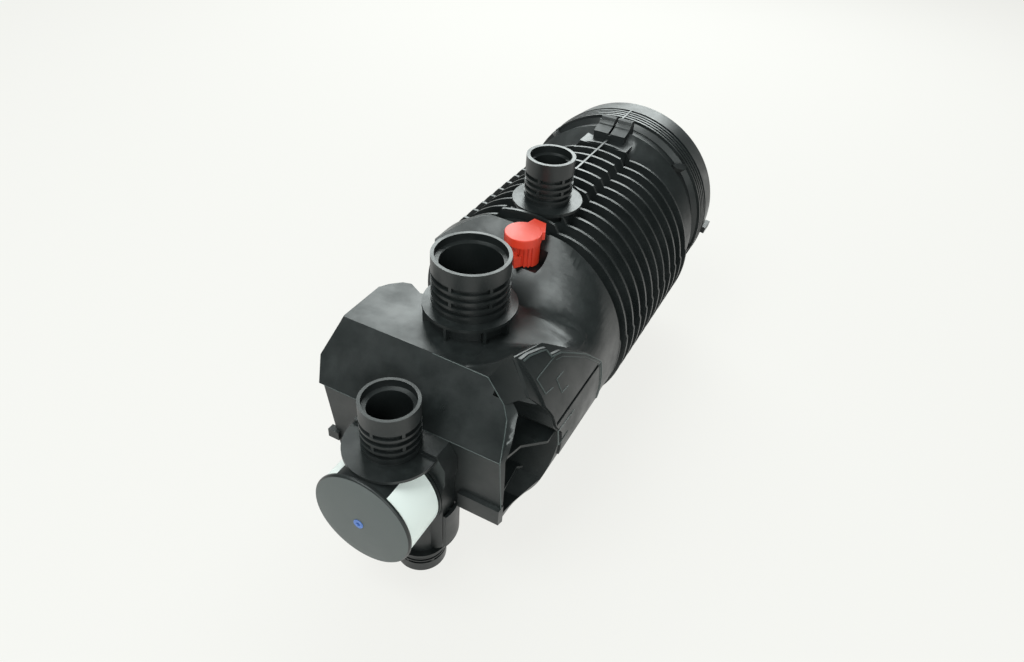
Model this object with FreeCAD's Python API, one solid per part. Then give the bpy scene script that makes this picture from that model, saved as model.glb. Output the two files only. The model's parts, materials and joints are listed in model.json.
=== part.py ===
import FreeCAD, Part
import math
import os

# In-line filter housing with hose stubs, a twist-off end cover, a red quarter-turn vent cap and a
# front diaphragm valve. Millimetres. The barrel runs along +Y, the two top hose stubs point up +Z.
# While it is drawn, the axis of the end cover is the Y axis (Z 0). The finished solids are moved so
# that the origin is the centre of the main port's rim.

V = FreeCAD.Vector
axisY = V(0, 1, 0)
axisZ = V(0, 0, 1)

# General walls and clearances
wall = 3.0
running_gap = 0.3
seal_gap = 0.1
weld_gap = 0.2

# Main port, on top of the front shell
main_x = 0.0
main_y = 0.0
main_rim_z = 99.1
main_rim_r = 30.0
main_wall = 2.7
main_bore_r = 24.0
main_band = 13.0
main_flange_z = 56.2
main_flange_r = 36.7

# Rear port, on top of the ribbed barrel
rear_x = 0.0
rear_y = 127.0
rear_rim_z = 125.3
rear_rim_r = 20.4
rear_wall = 3.0
rear_bore_r = 14.8
rear_band = 13.5
rear_flange_z = 86.4
rear_flange_r = 29.8

# Front port, on top of the valve body
front_x = 0.0
front_y = -106.0
front_rim_z = 40.0
front_rim_r = 21.9
front_wall = 2.5
front_bore_r = 16.2
front_band = 14.0
front_flange_z = -3.0
front_flange_r = 35.5

# Drain port, under the valve body
drain_x = 15.0
drain_y = -94.0
drain_rim_z = -131.5
drain_rim_r = 20.0
drain_wall = 2.5
drain_bore_r = 15.0
drain_band = 9.0
drain_flange_z = -112.0
drain_flange_r = 22.5
apron_r = 30.0
apron_low_z = -97.0
apron_top_z = -62.0
drain_top_z = -76.8

# Hose rings shared by the stubs
ring_count = 4
groove_depth = 2.6
ring_share = 0.36
flange_thick = 2.6
ledge_depth = 7.0
web_width = 2.4
web_count = 6

# Ribbed barrel
barrel_x = 4.0
barrel_z = -9.5
crest_r = 96.5
fin_depth = 8.0
fin_thick = 2.6
fin_count = 11
fin_pitch = 15.9
last_fin_y = 250.6
band_half = 24.0
band_foot = 28.3
band_top_z = barrel_z + crest_r + 1.6
band_edge_z = barrel_z + crest_r - 1.7
shoulder_z = barrel_z + crest_r - 8.5
step_right_deg = 82.0
step_left_deg = -48.0
step_out = 1.2
parting_half = 0.9
parting_front_y = 185.0
seam_y = 80.0
seam_flange_inset = 2.5

# Neck, ring collar and cover at the rear
collar_r = 97.6
neck_y0 = 254.0
neck_start_r = crest_r - 5.5
neck_ridge_y = 276.0
neck_ridge_r = collar_r - 2.6
neck_ridge_x = 1.5
neck_ridge_z = -0.5
recess_r = collar_r - 7.1
recess_y1 = 295.0
collar_y0 = 300.0
collar_y1 = 319.5
collar_ring_count = 4
collar_groove = 2.6
cover_y0 = 320.0
cover_y1 = 348.0
cover_r = collar_r + 0.2
cover_back_r = collar_r - 2.2
cover_wall = 3.0
cover_bore_r = collar_r - 11.6

ramp_deg = 45.0
gusset_deg = 104.0
block_deg = 98.5

# O-ring of the cover
seal_y0 = 313.5
seal_y1 = 317.0
seal_groove_r = cover_bore_r - 2.8

# Bayonet between cover and collar
bayonet_count = 4
bayonet_turn = 25.0
bayonet_y0 = 307.0
bayonet_y1 = 311.0
bayonet_out = 2.0
bayonet_deg = 22.0

# Clamp lug on top of the neck
lug_half = 16.0
lug_y0 = 262.0
lug_y1 = 286.0
lug_top_z = collar_r + 5.9
lug_flat_z = collar_r - 3.6
lug_slot = 2.4

# Front shell
hood_z = 42.0
fairing_x = 26.0
ridge_y = -52.0
slope_foot_y = 33.0
slope_top_z = 83.0
face_y = -86.0
lip_y = -90.0
crease_z = 0.0
panel_bottom_z = -46.0
lip_bottom_z = -61.0
lip_x0 = -58.0
lip_x1 = 80.0
shoulder_y = -50.0
body_r = 97.0
body_x = 2.0
body_z = -9.0
side_panel_out = 1.6
plate_skin = 3.5
pocket_x = 54.0
pocket_web = 2.4
clear_x = 130.0
relief_z = -25.0

# Filter element
element_r = 67.0
media_r = 63.5
media_inner_r = 37.0
media_thick = 1.4
pleat_count = 40
core_r = 34.0
core_wall = 1.8
window_half = 9.0
cap_thick = 3.0
cap_rim = 9.0
element_y0 = 86.0
element_rim = 1.5
element_y1 = 309.0
spigot_r = 33.0
spigot_len = 17.0
spigot_groove = 1.6
element_seal_width = 2.3
element_seal_y = 73.0
bulkhead_y = 72.0

# Bypass valve in the closed end of the element
bypass_r = 14.0
bypass_port_r = 10.0
bypass_stem_r = 3.0
cage_r = 19.0
cage_len = 34.0
cage_wall = 1.6
poppet_thick = 2.4
bypass_spring_r = 10.5
spring_wire = 0.8

# Front diaphragm valve
drum_x = 0.0
drum_z = -45.8
disc_y = -146.0
disc_r = 41.0
disc_thick = 3.0
disc_crown = 3.0
drum_r = 39.5
drum_end_y = -107.0
collar_front_y = -103.0
valve_face_y = -86.0
label_thick = 0.3
label_gap = 0.06
label_start_deg = 32.0
label_end_deg = 115.0
indicator_r = 4.0
seat_r = 14.0
seat_wall = 3.0
gasket_r = 21.0
gasket_width = 2.6
gasket_thick = 1.5
valve_spring_r = 18.4
plate_r = 21.0
plate_thick = 1.6
bead_thick = 3.0
diaphragm_thick = 1.1
drum_wall = 2.6
plate_back_y = drum_end_y - bead_thick + diaphragm_thick + plate_thick
valve_travel = 5.0
adapter_half = 42.5

# Red vent cap, turned about its shank. The head sits off centre over it
cap_x = 12.2
cap_y = 65.7
cap_top_z = 90.0
cap_base_z = 61.5
cap_head = 7.4
cap_head_r = 14.9
cap_head_dx = -1.2
cap_head_dy = -4.4
cap_shank_r = 11.4
wing_reach = 18.0
ear_reach = 19.0
cap_roof = 1.0
cap_seal_thick = 1.2
cap_seal_z = cap_top_z - cap_head + 1.0 - cap_roof - cap_seal_thick
wing_top_z = 72.0
wing_lift = 1.0
wing_room = 4.5
neck_r = 8.4
neck_bore_r = 6.0


def polygon(points):
    return Part.makePolygon(points + points[:1])


def revolve_y(profile, x=0.0, z=0.0):
    points = [V(x, y, z + r) for y, r in profile]
    return Part.Face(polygon(points)).revolve(V(x, 0, z), axisY, 360)


def revolve_z(profile, x, y):
    points = [V(x + r, y, z) for r, z in profile]
    return Part.Face(polygon(points)).revolve(V(x, y, 0), axisZ, 360)


def tube_y(r_out, r_in, y0, y1, x=0.0, z=0.0):
    return revolve_y([(y0, r_in), (y0, r_out), (y1, r_out), (y1, r_in)], x, z)


def cylinder_y(r, y0, y1, x=0.0, z=0.0):
    return Part.makeCylinder(r, y1 - y0, V(x, y0, z), axisY)


def tube_z(r_out, r_in, z0, z1, x, y):
    return revolve_z([(r_in, z0), (r_out, z0), (r_out, z1), (r_in, z1)], x, y)


def cylinder_z(r, z0, z1, x, y):
    return Part.makeCylinder(r, z1 - z0, V(x, y, z0), axisZ)


def box(x0, x1, y0, y1, z0, z1):
    return Part.makeBox(x1 - x0, y1 - y0, z1 - z0, V(x0, y0, z0))


def side_prism(points, x0, x1):
    # A side view (y, z) carried from x0 to x1
    face = Part.Face(polygon([V(x0, y, z) for y, z in points]))
    return face.extrude(V(x1 - x0, 0, 0))


def front_prism(points, y0, y1):
    # A front view (x, z) carried from y0 to y1
    face = Part.Face(polygon([V(x, y0, z) for x, z in points]))
    return face.extrude(V(0, y1 - y0, 0))


def arc(a, m, b):
    return Part.Arc(a, m, b).toShape()


def polar(x, z, r, degrees):
    # Front view, measured from straight up towards +X
    a = math.radians(degrees)
    return x + r * math.sin(a), z + r * math.cos(a)


def on_z(x, y, r, degrees):
    # Plan view, measured from +X towards +Y
    a = math.radians(degrees)
    return x + r * math.cos(a), y + r * math.sin(a)


def fused(shapes):
    return shapes[0].multiFuse(shapes[1:]).removeSplitter()


def single(shape):
    solids = shape.Solids
    return max(solids, key=lambda s: s.Volume) if len(solids) > 1 else solids[0]


# Hose stubs

def stub_profile(rim_r, rim_wall, bore_r, rim_z, flange_z, flange_r, band, foot_r, foot_z, rings):
    # Half section from the rim down: smooth band, rings and grooves, neck, disc flange, foot
    up = 1.0 if rim_z > flange_z else -1.0
    height = abs(rim_z - flange_z)
    pitch = (height - band - 4.0) / rings
    thick = pitch * ring_share
    groove_r = rim_r - groove_depth
    profile = [(rim_r - rim_wall, rim_z), (rim_r, rim_z)]
    z = rim_z - up * band
    for k in range(rings):
        profile += [(rim_r, z), (groove_r, z)]
        z -= up * (pitch - thick)
        profile += [(groove_r, z), (rim_r, z)]
        z -= up * thick
    profile += [(rim_r, z), (rim_r - 1.0, z), (rim_r - 1.0, flange_z), (flange_r, flange_z)]
    under = flange_z - up * flange_thick
    profile += [(flange_r, under), (foot_r, under), (foot_r, foot_z), (bore_r, foot_z)]
    ledge_z = rim_z - up * ledge_depth
    profile += [(bore_r, ledge_z), (rim_r - rim_wall, ledge_z + up)]
    return profile


def groove_webs(x, y, rim_r, rim_z, flange_z, band, turn, rings):
    # Six small bridges in the first and third groove
    up = 1.0 if rim_z > flange_z else -1.0
    pitch = (abs(rim_z - flange_z) - band - 4.0) / rings
    thick = pitch * ring_share
    webs = []
    for k in range(0, rings, 2):
        top = rim_z - up * (band + k * pitch)
        low = top - up * (pitch - thick)
        z0 = min(top, low) - 0.2
        z1 = max(top, low) + 0.2
        for i in range(web_count):
            web = box(rim_r - groove_depth - 0.6, rim_r - 0.25, -web_width / 2, web_width / 2, z0, z1)
            web.rotate(V(0, 0, 0), axisZ, turn + 360.0 * i / web_count)
            web.translate(V(x, y, 0))
            webs.append(web)
    return webs


def hose_stub(x, y, rim_r, rim_wall, bore_r, rim_z, flange_z, flange_r, band, foot_r, foot_z,
              turn=-90.0, rings=ring_count):
    profile = stub_profile(rim_r, rim_wall, bore_r, rim_z, flange_z, flange_r, band, foot_r, foot_z,
                           rings)
    body = revolve_z(profile, x, y)
    return fused([body] + groove_webs(x, y, rim_r, rim_z, flange_z, band, turn, rings))


def under_webs(x, y, r_in, r_out, z_top, z_low, angles):
    # Upright triangular gussets between a disc flange and the surface below it
    webs = []
    for a in angles:
        points = [V(r_in, 0, z_low), V(r_out, 0, z_low), V(r_out, 0, z_top), V(r_in, 0, z_top)]
        web = Part.Face(polygon(points)).extrude(V(0, 2.2, 0))
        web.translate(V(0, -1.1, 0))
        web.rotate(V(0, 0, 0), axisZ, a)
        web.translate(V(x, y, 0))
        webs.append(web)
    return webs


# Ribbed barrel

def barrel_wire(inset, y):
    # Outline of the barrel in a plane across it: flat raised band on top, full shoulders, round sides
    r = crest_r - inset
    x0, z0 = barrel_x, barrel_z
    foot_z = shoulder_z - inset
    right_foot = V(band_foot - inset * 0.4, y, foot_z)
    left_foot = V(-(band_foot - inset * 0.4), y, foot_z)
    right_top = V(band_half - inset * 0.4, y, band_edge_z - inset)
    left_top = V(-(band_half - inset * 0.4), y, band_edge_z - inset)
    top = V(0, y, band_top_z - inset)
    knee = 45.0
    xr, zr = polar(x0, z0, r, knee)
    right_knee = V(xr, y, zr)
    right_mid = V((right_foot.x + xr) / 2 + 2.2, y, (foot_z + zr) / 2 + 4.4)
    xs, zs = polar(x0, z0, r, step_right_deg)
    xo, zo = polar(x0, z0, r + step_out, step_right_deg + 1.5)
    right_step = V(xs, y, zs)
    right_out = V(xo, y, zo)
    xm, zm = polar(x0, z0, r, (knee + step_right_deg) / 2)
    low_x, low_z = polar(x0, z0, r + step_out, 170.0)
    xl, zl = polar(x0, z0, r + step_out, step_left_deg - 1.0)
    left_out = V(xl, y, zl)
    xi, zi = polar(x0, z0, r - 2.6, step_left_deg + 1.0)
    left_in = V(xi, y, zi)
    left_mid = V((left_foot.x + xi) / 2 - 2.0, y, (foot_z + zi) / 2 + 3.4)
    edges = [
        arc(left_top, top, right_top),
        Part.makeLine(right_top, right_foot),
        arc(right_foot, right_mid, right_knee),
        arc(right_knee, V(xm, y, zm), right_step),
        Part.makeLine(right_step, right_out),
        arc(right_out, V(low_x, y, low_z), left_out),
        Part.makeLine(left_out, left_in),
        arc(left_in, left_mid, left_foot),
        Part.makeLine(left_foot, left_top),
    ]
    return Part.Wire(edges)


def barrel_prism(inset, y0, y1):
    return Part.Face(barrel_wire(inset, y0)).extrude(V(0, y1 - y0, 0))


def circle_wire(r, x, y, z):
    return Part.Wire([Part.makeCircle(r, V(x, y, z), axisY)])


def neck_cone():
    # Cone behind the last fin, from the barrel's axis over to the cover's axis
    start = circle_wire(neck_start_r, barrel_x, neck_y0 - 1.0, barrel_z)
    ridge = circle_wire(neck_ridge_r, neck_ridge_x, neck_ridge_y, neck_ridge_z)
    return Part.makeLoft([start, ridge], True, True)


def ring_collar():
    # Recess behind the neck's ridge, flared skirt and fine rings, turned about the cover's axis
    pitch = (collar_y1 - collar_y0) / collar_ring_count
    root_r = collar_r - collar_groove
    inner = cover_bore_r - 4.0
    profile = [(neck_ridge_y - 2.0, inner), (neck_ridge_y - 2.0, recess_r), (recess_y1, recess_r),
               (collar_y0 - 1.0, root_r)]
    y = collar_y0
    for k in range(collar_ring_count):
        profile += [(y, root_r), (y, collar_r), (y + pitch * 0.45, collar_r), (y + pitch * 0.45, root_r)]
        y += pitch
    profile += [(collar_y1, root_r), (collar_y1, inner)]
    return revolve_y(profile)


def clamp_lug():
    # Two lobes on the neck: sloping step in front, hollow, rounded ridge behind, split by a slot
    step_y = lug_y0 + 10.0
    rise = (lug_top_z - lug_flat_z) * 0.3
    points = [(lug_y0, 76.0), (lug_y0, lug_flat_z), (step_y, lug_flat_z + rise)]
    climb = lug_top_z - lug_flat_z - rise
    for k in range(3):
        share = (k + 1) / 4.0
        points.append((step_y + 5.0 * share, lug_flat_z + rise + climb * share ** 2))
    for k in range(5):
        a = math.radians(180.0 - 45.0 * k)
        points.append((lug_y1 - 4.0 + 4.0 * math.cos(a), lug_top_z - 3.0 + 3.0 * math.sin(a)))
    points += [(lug_y1, 76.0)]
    lug = side_prism(points, -lug_half, lug_half)
    slot = box(-lug_slot / 2, lug_slot / 2, lug_y0 - 1, lug_y1 + 1, lug_flat_z - 2.0, lug_top_z + 1)
    return lug.cut(slot)


def rear_barrel():
    skin = barrel_prism(fin_depth, seam_y, neck_y0)
    fins = []
    for k in range(fin_count):
        y = last_fin_y - fin_pitch * k
        fins.append(barrel_prism(0.0, y - fin_thick / 2, y + fin_thick / 2))
    front_flange = barrel_prism(seam_flange_inset, seam_y, seam_y + wall)
    front_flange = front_flange.cut(box(-band_foot - 1.0, band_foot + 1.0, seam_y - 1.0, seam_y + 2.0 * wall,
                                        shoulder_z, band_top_z + 1.0))
    parting = box(-parting_half, parting_half, parting_front_y, neck_y0 + 6.0, 70.0, band_top_z + 0.4)
    collar_rib = box(-parting_half, parting_half, neck_ridge_y, collar_y1, collar_r - 6.0, collar_r + 0.5)
    band_end = box(-band_half, band_half, neck_y0 - 6.0, neck_ridge_y, 70.0, band_top_z - 2.0)
    outer = fused([skin, front_flange] + fins + [neck_cone(), ring_collar(), parting, collar_rib, band_end,
                                                 clamp_lug()])
    outer = outer.cut(cylinder_z(rear_flange_r + 1.6, rear_flange_z - 8.0, rear_rim_z, rear_x, rear_y))
    stub = hose_stub(rear_x, rear_y, rear_rim_r, rear_wall, rear_bore_r, rear_rim_z, rear_flange_z,
                     rear_flange_r, rear_band, rear_rim_r + 1.5, 66.0)
    outer = fused([outer, stub, collar_tabs()])
    cavity = barrel_prism(fin_depth + wall, seam_y - 1.0, neck_y0)
    outer = outer.cut(cavity)
    for tool in neck_bore():
        outer = outer.cut(tool)
    outer = outer.cut(cylinder_z(rear_bore_r, 50.0, rear_flange_z, rear_x, rear_y))
    return single(outer.removeSplitter())


def neck_bore():
    start = circle_wire(crest_r - fin_depth - wall - 0.7, barrel_x, neck_y0 - 8.0, barrel_z)
    end = circle_wire(cover_bore_r - 0.8, 0, neck_ridge_y + 4.0, 0)
    cone = Part.makeLoft([start, end], True, True)
    bore = cylinder_y(cover_bore_r, neck_ridge_y + 2.0, collar_y1 + 1.0)
    groove = cylinder_y(cover_bore_r + bayonet_out + 0.7, bayonet_y0 - 0.4, bayonet_y1 + 0.4)
    slots = [bayonet_lug(i, bayonet_turn, 0.5, collar_y1 + 2.0) for i in range(bayonet_count)]
    return [cone, bore, groove] + slots


def bayonet_lug(index, turn, grow, y_end):
    # One lug on the cover's spigot, or with grow the slot that lets it in
    start = 45.0 + 360.0 * index / bayonet_count + turn
    half = bayonet_deg / 2 + math.degrees(grow / cover_bore_r)
    inner = cover_bore_r - 2.0
    ring = tube_y(cover_bore_r + bayonet_out + grow, inner, bayonet_y0 - grow, y_end)
    wedge = Part.Face(polygon([
        V(0, bayonet_y0 - 5, 0),
        V(*spoke(120.0, start - half, bayonet_y0 - 5)),
        V(*spoke(120.0, start + half, bayonet_y0 - 5)),
    ])).extrude(V(0, 60, 0))
    return ring.common(wedge)


def spoke(r, degrees, y):
    x, z = polar(0, 0, r, degrees)
    return x, y, z


def collar_tabs():
    # Locking ramps on the collar, one each side of the lug, and a small gusset lower down
    root, rim = recess_r - 4.5, collar_r - 1.2
    ramp = [(-6.5, neck_ridge_y + 2.0), (-2.0, 280.0), (3.0, 287.0), (6.7, 294.0), (6.7, collar_y1),
            (4.7, collar_y1), (4.7, 306.0), (0.0, 296.0), (-5.0, 285.0)]
    tabs = []
    for side in (1.0, -1.0):
        face = Part.Face(polygon([V(side * t, y, root) for t, y in ramp]))
        tab = face.extrude(V(0, 0, rim - root))
        tab.rotate(V(0, 0, 0), axisY, side * ramp_deg)
        tabs.append(tab)
    gusset = front_prism([(-4.0, root), (4.0, root), (4.0, rim), (-4.0, rim)], collar_y0 - 10.0, collar_y1)
    gusset.rotate(V(0, 0, 0), axisY, gusset_deg)
    return fused(tabs + [gusset])


def end_cover():
    # Cup turned about Y: outer rim with a slight draft, dished back, inner spigot
    back_y = cover_y1 - 6.0
    inner = cover_bore_r - 4.5
    profile = [(cover_y0, inner), (cover_y0, cover_r), (cover_y1 - 2.5, cover_back_r),
               (cover_y1, cover_back_r - 2.5), (cover_y1, cover_back_r - 8.0), (back_y, cover_back_r - 11.0),
               (back_y, 0.0), (back_y - cover_wall, 0.0), (back_y - cover_wall, inner - 1.0),
               (bayonet_y0 - 1.0, inner - 1.0), (bayonet_y0 - 1.0, cover_bore_r - running_gap),
               (seal_y0, cover_bore_r - running_gap), (seal_y0, seal_groove_r), (seal_y1, seal_groove_r),
               (seal_y1, cover_bore_r - running_gap), (cover_y0, cover_bore_r - running_gap)]
    cover = revolve_y(profile[1:])
    hollow = tube_y(cover_r - 4.5, cover_bore_r, cover_y0 - 1.0, back_y - 6.0)
    lugs = [bayonet_lug(i, 0.0, 0.0, bayonet_y1) for i in range(bayonet_count)]
    ribs = []
    for i in range(8):
        rib = box(-1.3, 1.3, cover_y1 - 6.5, cover_y1 - 1.0, 16.0, cover_back_r - 9.0)
        rib.rotate(V(0, 0, 0), axisY, 22.5 + 45.0 * i)
        ribs.append(rib)
    hub = tube_y(18.0, 14.0, cover_y1 - 6.5, cover_y1 - 1.0)
    stop = tube_y(58.0, 55.0, element_y1 + running_gap, cover_y1 - 7.0)
    block = box(-3.5, 3.5, cover_y0 + 8.0, cover_y1 - 3.0, cover_r - 2.0, cover_r + 3.0)
    block.rotate(V(0, 0, 0), axisY, block_deg)
    grip = front_prism([(-9.0, 90.0), (9.0, 90.0), (7.0, 101.0), (-7.0, 101.0)], cover_y1 - 8.0, cover_y1)
    grip.rotate(V(0, 0, 0), axisY, -66.0)
    return single(fused([cover, hub, stop, block, grip] + lugs + ribs).cut(hollow))


def cover_seal():
    return tube_y(cover_bore_r - seal_gap, seal_groove_r, seal_y0 + 0.2, seal_y1 - 0.2)


# Front shell

def upper_front(inset):
    # Outline of the leaning face: from the ridge down to the crease
    lean = (ridge_y - face_y) / (hood_z - crease_z)
    back = inset * math.sqrt(1.0 + lean * lean)

    def p(x, z):
        return V(x, ridge_y + (z - hood_z) * lean + back, z)

    top = hood_z - inset
    ridge_left = p(-80.0 + inset, top)
    ridge_mid = p(fairing_x, top)
    ridge_right = p(47.0 - inset, top - 0.6)
    side = p(68.6 - inset, 26.0)
    right = p(76.5 - inset, crease_z)
    left = p(-80.8 + inset, crease_z)
    left_out = p(-88.0 + inset, 16.0)
    return Part.Wire([
        Part.makeLine(ridge_left, ridge_mid),
        Part.makeLine(ridge_mid, ridge_right),
        arc(ridge_right, side, right),
        Part.makeLine(right, left),
        Part.makeLine(left, left_out),
        Part.makeLine(left_out, ridge_left),
    ])


def on_body(r, degrees):
    x, z = polar(body_x, body_z, r, degrees)
    return V(x, shoulder_y, z)


def body_at(r, z, side):
    return V(body_x + side * math.sqrt(r * r - (z - body_z) ** 2), shoulder_y, z)


def upper_back(inset):
    # Section where hood and round body meet, with the shoulder lifted on the right
    r = body_r - inset
    top = hood_z - inset
    lift_x = 62.0
    lift = V(lift_x, shoulder_y, body_z + math.sqrt(r * r - (lift_x - body_x) ** 2))
    mid = V((fairing_x + lift_x) / 2 + 2.0, shoulder_y, (top + lift.z) / 2 - 3.0)
    left = body_at(r, crease_z, -1.0)
    left_out = body_at(r, 16.0, -1.0)
    left_top = body_at(r, top, -1.0)
    fairing_foot = V(fairing_x, shoulder_y, top)
    return Part.Wire([
        Part.makeLine(left_top, fairing_foot),
        arc(fairing_foot, mid, lift),
        arc(lift, on_body(r, 62.0), body_at(r, crease_z, 1.0)),
        Part.makeLine(body_at(r, crease_z, 1.0), left),
        arc(left, body_at(r, 8.0, -1.0), left_out),
        arc(left_out, body_at(r, 30.0, -1.0), left_top),
    ])


def lower_nose(inset):
    # Upright panel below the crease, drawn back and down to the round body
    y = face_y + inset
    r = body_r - inset
    low = lip_bottom_z + inset
    corners = [V(-76.0 + inset, y, crease_z), V(76.5 - inset, y, crease_z), V(79.0 - inset, y, low),
               V(-66.0 + inset, y, low)]
    front = Part.Wire(polygon(corners))
    left, right = body_at(r, crease_z, -1.0), body_at(r, crease_z, 1.0)
    right_low, left_low = on_body(r, 130.0), on_body(r, -134.0)
    back = Part.Wire([
        Part.makeLine(left, right),
        arc(right, on_body(r, 105.0), right_low),
        arc(right_low, on_body(r, 178.0), left_low),
        arc(left_low, on_body(r, -110.0), left),
    ])
    return Part.makeLoft([front, back], True, True)


def hood_solid(inset):
    upper = Part.makeLoft([upper_front(inset), upper_back(inset)], True, True)
    return fused([upper, lower_nose(inset)])


def front_lip():
    # Thick lower edge of the front panel and the small block at its left end
    bar = side_prism([(lip_y, panel_bottom_z), (lip_y, lip_bottom_z), (face_y + wall, lip_bottom_z - 3.0),
                      (face_y + wall, panel_bottom_z)], lip_x0, lip_x1)
    block = box(-75.0, -65.0, lip_y + 1.0, face_y + wall, panel_bottom_z - 6.0, panel_bottom_z + 2.0)
    return [bar, block]


def scoop_rim():
    # The outer skin runs on over the scoop as far as this rim
    y = shoulder_y + 1.0
    shell = tube_y(body_r - 0.4, body_r - wall, face_y, y, body_x, body_z)
    rim = [(y, 64.0), (shoulder_y, 64.0), (-60.0, 45.0), (-53.0, 35.0), (y, 29.0)]
    return shell.common(side_prism(rim, pocket_x + 6.0, clear_x))


def fender():
    # Forward-facing web between the hood's right edge and the skin over the scoop
    deep = shoulder_y + 3.0
    hood_side = [V(46.4, -53.0, 41.0), V(64.3, -61.4, 30.4), V(64.3, deep, 30.4), V(46.4, deep, 41.0)]
    skin_side = [V(61.6, shoulder_y, 65.6), V(80.6, -60.0, 44.0), V(80.6, deep, 44.0), V(61.6, deep, 65.6)]
    return Part.makeLoft([Part.Wire(polygon(hood_side)), Part.Wire(polygon(skin_side))], True, True)


def round_body(inset):
    r = body_r - inset
    body = cylinder_y(r, shoulder_y - 0.5, seam_y, body_x, body_z)
    # Everything above the hood and the slope comes off, apart from the fairing on the right
    top = hood_z - inset
    cut = side_prism([(seam_y + 1.0, slope_top_z - inset + 1.0), (slope_foot_y, top), (shoulder_y - 2.0, top),
                      (shoulder_y - 2.0, 140.0), (seam_y + 1.0, 140.0)], -130.0, 130.0)
    return body.cut(cut.cut(fairing(inset)))


def fairing(inset):
    # Concave ramp between the flat hood top and the raised right shoulder
    top = hood_z - inset - 2.0
    rows = ((shoulder_y - 3.0, fairing_x, 62.0, 66.0), (-20.0, 31.0, 70.0, 60.0), (4.0, 60.0, 86.0, 45.0))
    wires = []
    for y, x0, x1, z1 in rows:
        z1 = z1 - inset
        base = V(x0, y, hood_z - inset)
        lift = V(x1, y, z1)
        mid = V((x0 + x1) / 2 + 2.0, y, (hood_z - inset + z1) / 2 - 2.5)
        out = V(125.0, y, z1)
        wires.append(Part.Wire([
            arc(base, mid, lift),
            Part.makeLine(lift, out),
            Part.makeLine(out, V(125.0, y, top)),
            Part.makeLine(V(125.0, y, top), V(x0, y, top)),
            Part.makeLine(V(x0, y, top), base),
        ]))
    return Part.makeLoft(wires, True, True)


def pocket(grow):
    # Open scoop behind the right edge of the front plate, as a side view
    g = grow
    front_y = face_y + plate_skin - g
    low_z = lip_bottom_z + 4.0 - g
    points = [(front_y, low_z), (front_y, crease_z), (-62.0 - g, 27.0), (-58.0 - g, 36.0 + g),
              (-52.0, 34.0 + g), (-46.0 + g, 22.0), (-46.0 + g, 11.0), (-37.0 + g, crease_z),
              (-37.0 + g, -6.0), (-42.0 + g, -20.0), (-50.0 + g, -40.0), (-62.0 + g, low_z)]
    return side_prism(points, pocket_x - g, clear_x)


def left_relief(grow):
    # The round body narrows on the left behind the hood
    g = grow
    points = [(-82.0 + g, seam_y + 1.0), (-38.5 + g, 6.0 - g), (-48.0, 4.0 - g), (-61.0, 11.0 - g),
              (-68.0 + g * 0.3, 9.0 - g), (-76.0 + g * 0.5, 1.0 - g), (-80.0 + g * 0.5, -6.0 - g),
              (-140.0, -6.0 - g), (-140.0, seam_y + 1.0)]
    face = Part.Face(polygon([V(x, y, relief_z - g) for x, y in points]))
    return face.extrude(V(0, 0, 130.0))


def pocket_webs():
    # Two level webs across the scoop, drawn in plan from the front plate to the body
    x0, y0 = pocket_x - 1.0, face_y + 2.0
    upper = [(x0, y0), (76.5, y0), (81.0, -64.0), (95.5, -50.0), (95.5, -36.0), (x0, -36.0)]
    lower = [(x0, y0), (77.0, y0), (74.0, -52.0), (89.0, -40.0), (89.0, -34.0), (x0, -34.0)]
    keep = cylinder_y(body_r, lip_y, seam_y, body_x, body_z)
    webs = []
    for points, z in ((upper, crease_z), (lower, -38.0)):
        face = Part.Face(polygon([V(x, y, z - pocket_web / 2) for x, y in points]))
        webs.append(face.extrude(V(0, 0, pocket_web)).common(keep))
    return webs


def side_panel():
    # Slightly raised right side behind the scoop, ended by the lip above and a thin edge at the rear
    notch = [(-48.0, 64.0), (-39.0, 63.0), (-27.0, 60.0), (-21.0, 58.0), (-20.0, 53.0), (-9.0, 50.0)]
    rear = [(1.0, 44.0), (17.0, 34.0), (38.0, 14.0), (38.0, -26.0), (-34.0, -26.0)]
    scoop_edge = [(-36.0, crease_z), (-44.0, 12.0), (-45.0, 22.0), (-51.0, 35.0)]
    shell = tube_y(body_r + side_panel_out, body_r - wall / 2, shoulder_y, -shoulder_y, body_x, body_z)
    return shell.common(side_prism(notch + rear + scoop_edge, 45.0, clear_x))


def under_flange(z):
    # Gussets that carry the main port's flange on the hood
    return under_webs(main_x, main_y, main_rim_r, main_flange_r - 0.3, main_flange_z - flange_thick + 0.5, z,
                      (-90.0, -42.0, -8.0, 40.0, 90.0, 140.0, 188.0, 222.0))


def front_form(inset):
    form = fused([hood_solid(inset), round_body(inset)])
    return form.cut(left_relief(inset))


def bulkhead():
    # Wall across the body with the collar that takes the element's spigot
    plate = cylinder_y(body_r - 1.0, bulkhead_y, bulkhead_y + wall, body_x, body_z)
    collar = tube_y(spigot_r + running_gap + 3.0, spigot_r + running_gap, bulkhead_y - 8.0, bulkhead_y + 10.0)
    hole = cylinder_y(spigot_r + running_gap, bulkhead_y - 9.0, bulkhead_y + 11.0)
    return plate.cut(hole).fuse(collar)


def weld_tongue():
    # Short tongue on the front shell that enters the barrel at the weld
    outer = barrel_prism(fin_depth + wall + weld_gap, seam_y - 4.0, seam_y + 5.0)
    inner = barrel_prism(fin_depth + wall + weld_gap + 2.4, seam_y - 5.0, seam_y + 6.0)
    return outer.cut(inner)


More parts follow.
